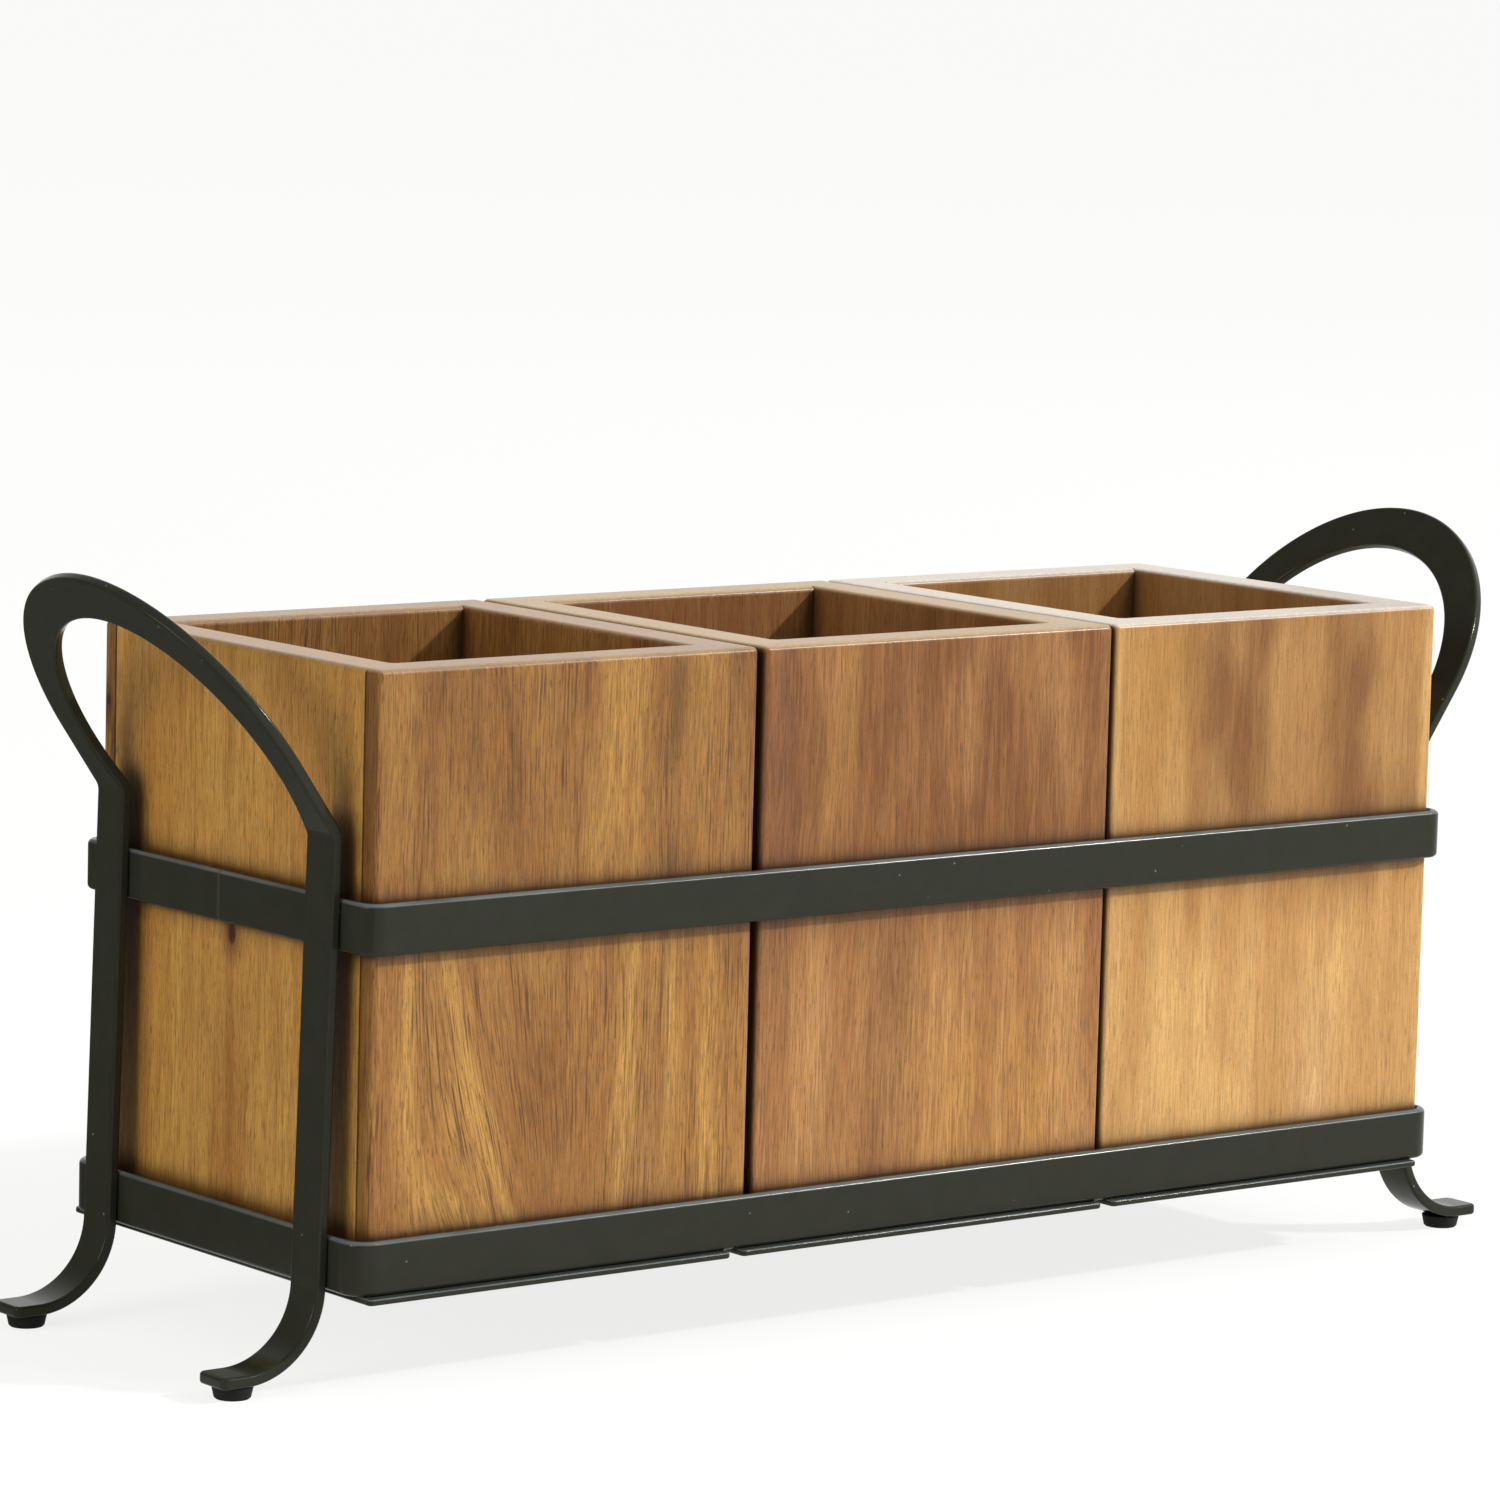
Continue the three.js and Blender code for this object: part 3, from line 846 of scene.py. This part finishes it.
def rim_test(node):
    """Tells which of a board's edges are eased: those of the rim and the bottom, but not the joints."""
    bin_name = node.split("_bin_")[0] + "_bin"
    boxes = [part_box(bin_name + "_" + kind) for kind in BOARD_AXES if kind != "floor_panel"]
    low = Vector([min(box[0][axis] for box in boxes) for axis in (X, Y, Z)])
    high = Vector([max(box[1][axis] for box in boxes) for axis in (X, Y, Z)])
    middle = (low + high) / 2
    half = (high - low) / 2
    inner_x = half.x - BOARD_THICKNESS
    inner_y = half.y - BOARD_THICKNESS
    joint_y = half.y - LIP_THICKNESS

    def on_rim(edge):
        spots = [vertex.co - middle for vertex in edge.verts]
        x = [abs(spot.x) for spot in spots]
        y = [abs(spot.y) for spot in spots]
        at_end = all(near(abs(spot.z), half.z) for spot in spots)
        along_lip = all(near(value, joint_y) for value in y)
        in_rabbet = all(near(value, inner_x) for value in x) and max(y) > inner_y + SAME_PLACE
        return is_corner(edge) and at_end and not along_lip and not in_rabbet

    return on_rim


def finish_piece(node, form, is_eased, ease, steps, material):
    """The piece that stands for a node: its form with the chosen edges eased."""
    edges = [edge for edge in form.edges if is_eased(edge)]
    bmesh.ops.bevel(form, geom=edges, offset=ease, offset_type="OFFSET", segments=steps,
                    profile=ROUND_PROFILE, affect="EDGES", clamp_overlap=False)
    form.edges.index_update()
    kept_apart = [edge.index for edge in form.edges if ends_on_flat(edge)]
    shape = bpy.data.meshes.new(node + "_finished")
    form.to_mesh(shape)
    form.free()
    for polygon in shape.polygons:
        polygon.use_smooth = True
    shape.set_sharp_from_angle(angle=SMOOTH_ANGLE)
    for index in kept_apart:
        shape.edges[index].use_edge_sharp = True
    shape.materials.append(material)
    piece = bpy.data.objects.new(node + "_finished", shape)
    bpy.context.scene.collection.objects.link(piece)
    shading = piece.modifiers.new("flat faces stay flat", "WEIGHTED_NORMAL")
    shading.weight = FLAT_WEIGHT
    shading.keep_sharp = True
    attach(piece, body_of[node])
    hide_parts(node)


def build_bins():
    for bin_name, bin_look in BIN_LOOKS.items():
        for kind in BOARD_AXES:
            node = bin_name + "_" + kind
            material = wood(node, dict(bin_look, **BOARD_LOOKS.get(node, {})))
            if kind == "floor_panel":
                finish_piece(node, whole_form(node), is_corner, PANEL_EASE, PANEL_STEPS, material)
            else:
                finish_piece(node, board_form(node), rim_test(node), RIM_EASE, RIM_STEPS, material)


def build_frame():
    """The bands, plates, handle frames and pads, each named by the last word of its node."""
    coat = steel("black_steel_coat")
    highlit_coat = steel("black_steel_coat_highlit", highlit=True)
    seamed_coat = steel("black_steel_coat_with_seam", highlit=True, seam=True)
    finishes = {
        "band": (BAND_EASE, highlit_coat),
        "plate": (PLATE_EASE, highlit_coat),
        "frame": (STRAP_EASE, coat),
        "pad": (PAD_EASE, rubber()),
    }
    for node, body in body_of.items():
        if body != "frame":
            continue
        ease, material = finishes[node.split("_")[-1]]
        if node == "mid_band":
            material = seamed_coat
        form = hoop_form(node) if node.endswith("band") else whole_form(node)
        finish_piece(node, form, is_corner, ease, STEEL_STEPS, material)


# Stage

def shown(nodes):
    """Whether a ray is one that shows the surrounding: from the camera, or by gloss or glass."""
    rays = nodes.node("LightPath").outputs
    direct = nodes.math("MAXIMUM", rays["Is Camera Ray"], rays["Is Glossy Ray"])
    return nodes.math("MAXIMUM", direct, rays["Is Transmission Ray"])


def dimmed(nodes, value, reach):
    """How bright the surrounding is: all white for the camera, and darker on the left for gloss."""
    share = nodes.step(value, *reach, DIM_SHARE, 1.0)
    return nodes.math("MAXIMUM", share, nodes.node("LightPath").outputs["Is Camera Ray"])


def surround():
    """An even pale world, which gives a soft light from all sides."""
    world = bpy.data.worlds.new("surround")
    bpy.context.scene.world = world
    world.use_nodes = True
    nodes = Nodes(world.node_tree)
    background = nodes.tree.nodes["Background"]
    bright = dimmed(nodes, nodes.separate(nodes.place())[X], DIM_SKY)
    nodes.feed(background.inputs["Strength"], nodes.step(shown(nodes), 0, 1, AMBIENT_STRENGTH, bright))
    nodes.feed(background.inputs["Color"], WHITE)


def floor_paint():
    """A pale floor, which is seen as nearly white but keeps the object's shadow."""
    paint = Paint("pale_floor")
    seen = shown(paint)
    place = paint.place()
    bright = dimmed(paint, paint.measure("DOT_PRODUCT", place, DIM_ACROSS), DIM_FLOOR)
    gray = paint.step(seen, 0, 1, FLOOR_TONE, paint.product(bright, FLOOR_SEEN_TONE))
    glow = paint.step(paint.measure("LENGTH", place), *FLOOR_GLOW_REACH, *FLOOR_GLOW)
    paint.give("Base Color", paint.combine(gray, gray, gray))
    paint.give("Roughness", FLOOR_ROUGHNESS)
    paint.give("Specular IOR Level", 0.0)
    paint.give("Emission Color", FLOOR_GLOW_COLOR)
    paint.give("Emission Strength", paint.product(seen, glow, bright))
    return paint.material


def floor():
    shape = bpy.data.meshes.new("floor")
    reach = FLOOR_REACH
    corners = [(-reach, -reach, 0), (reach, -reach, 0), (reach, reach, 0), (-reach, reach, 0)]
    shape.from_pydata(corners, [], [(0, 1, 2, 3)])
    shape.materials.append(floor_paint())
    plane = bpy.data.objects.new("floor", shape)
    bpy.context.scene.collection.objects.link(plane)


def lamps():
    for lamp in LAMPS:
        data = bpy.data.lights.new(lamp.name, "AREA")
        data.shape = "DISK"
        data.size = lamp.size
        data.energy = lamp.power
        data.color = lamp.color
        made = bpy.data.objects.new(lamp.name, data)
        bpy.context.scene.collection.objects.link(made)
        towards = lamp.direction.normalized()
        made.location = LOOK_AT + towards * lamp.distance
        made.rotation_euler = towards.to_track_quat("Z", "Y").to_euler()


def camera():
    data = bpy.data.cameras.new("camera")
    data.lens = LENS_MM
    data.sensor_width = SENSOR_MM
    data.clip_start = CLIP_START
    data.clip_end = CLIP_END
    eye = bpy.data.objects.new("camera", data)
    bpy.context.scene.collection.objects.link(eye)
    back = Vector((
        math.sin(CAMERA_AZIMUTH) * math.cos(CAMERA_ELEVATION),
        -math.cos(CAMERA_AZIMUTH) * math.cos(CAMERA_ELEVATION),
        math.sin(CAMERA_ELEVATION),
    ))
    turned = back.to_track_quat("Z", "Y").to_matrix().to_4x4()
    roll = Matrix.Rotation(CAMERA_ROLL, 4, back)
    eye.matrix_world = Matrix.Translation(LOOK_AT + back * CAMERA_DISTANCE) @ roll @ turned
    bpy.context.scene.camera = eye


bpy.context.scene.view_settings.view_transform = "Standard"
camera()
surround()
lamps()
floor()
build_bins()
build_frame()
